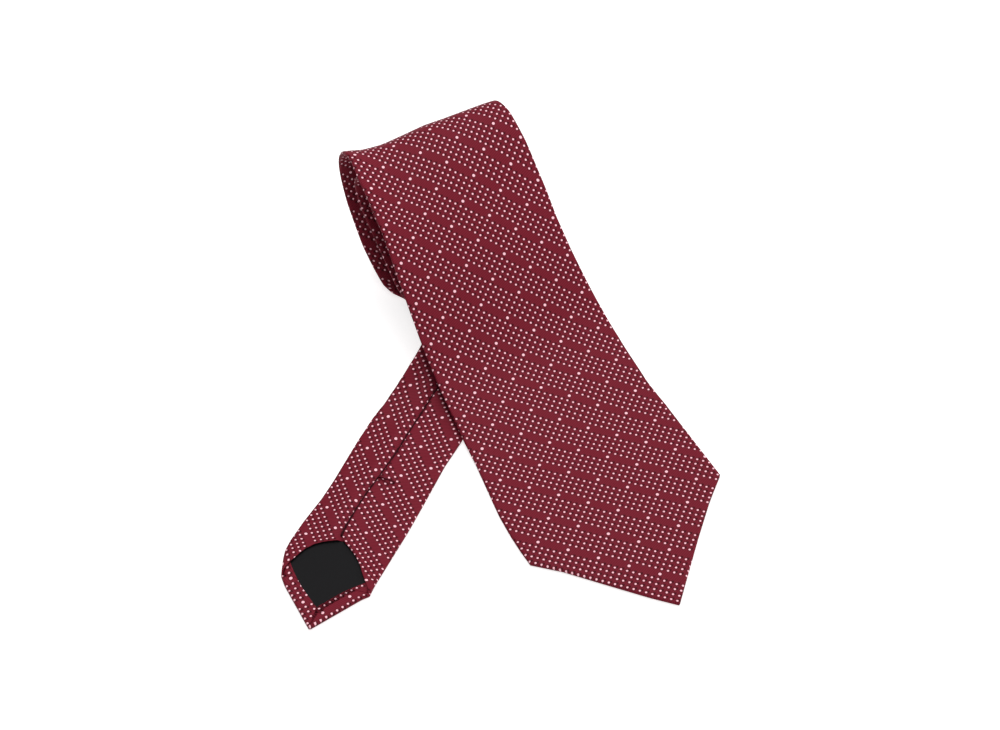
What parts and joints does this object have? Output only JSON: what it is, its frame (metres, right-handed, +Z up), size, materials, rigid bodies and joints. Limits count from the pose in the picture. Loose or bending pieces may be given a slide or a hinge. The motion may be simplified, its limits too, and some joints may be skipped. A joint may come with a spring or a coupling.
{
  "type": "necktie",
  "caption": "Classic silk necktie folded in two and wound into a loose flat roll, its wide blade face up in front and its narrow tail splayed beside it, back up.",
  "frame": {"origin": "centre of the footprint, on the surface the tie lies on", "axes": "+Y along the blade from its tip towards the roll, +Z up; the tail is splayed towards -X"},
  "size_m": [0.1778, 0.2434, 0.0713],
  "materials": {
    "silk": "burgundy silk twill with small and large pinkish white dots",
    "interlining": "pressed natural wool",
    "tipping": "black fine-weave lining",
    "thread": "burgundy sewing thread",
    "label": "blank black woven satin",
    "care_tag": "blank white taffeta"
  },
  "bodies": {
    "roll": {"blade_shell_roll": "silk", "neck_shell": "silk", "tail_shell_roll": "silk", "blade_interlining_roll": "interlining", "tail_interlining_roll": "interlining", "slip_stitch_roll": "thread", "blade_neck_seam": "thread", "neck_tail_seam": "thread", "blade_bar_tack": "thread", "keeper_loop": "silk", "brand_label": "label", "care_label": "care_tag"},
    "blade_end": {"blade_shell_end": "silk", "blade_interlining_end": "interlining", "blade_tipping": "tipping", "slip_stitch_blade_end": "thread"},
    "tail_end": {"tail_shell_end": "silk", "tail_interlining_end": "interlining", "tail_tipping": "tipping", "slip_stitch_tail_end": "thread", "tail_bar_tack": "thread"}
  },
  "joints": [
    {"name": "blade_lift", "type": "hinge", "parent": "roll", "child": "blade_end", "pos_m": [0.0464, -0.02463, 0.0023], "axis": [-1, 0, 0], "range_deg": [0, 90]},
    {"name": "tail_lift", "type": "hinge", "parent": "roll", "child": "tail_end", "pos_m": [-0.01565, -0.0007, 0.002], "axis": [-0.6561, 0.7547, 0], "range_deg": [0, 90]}
  ]
}
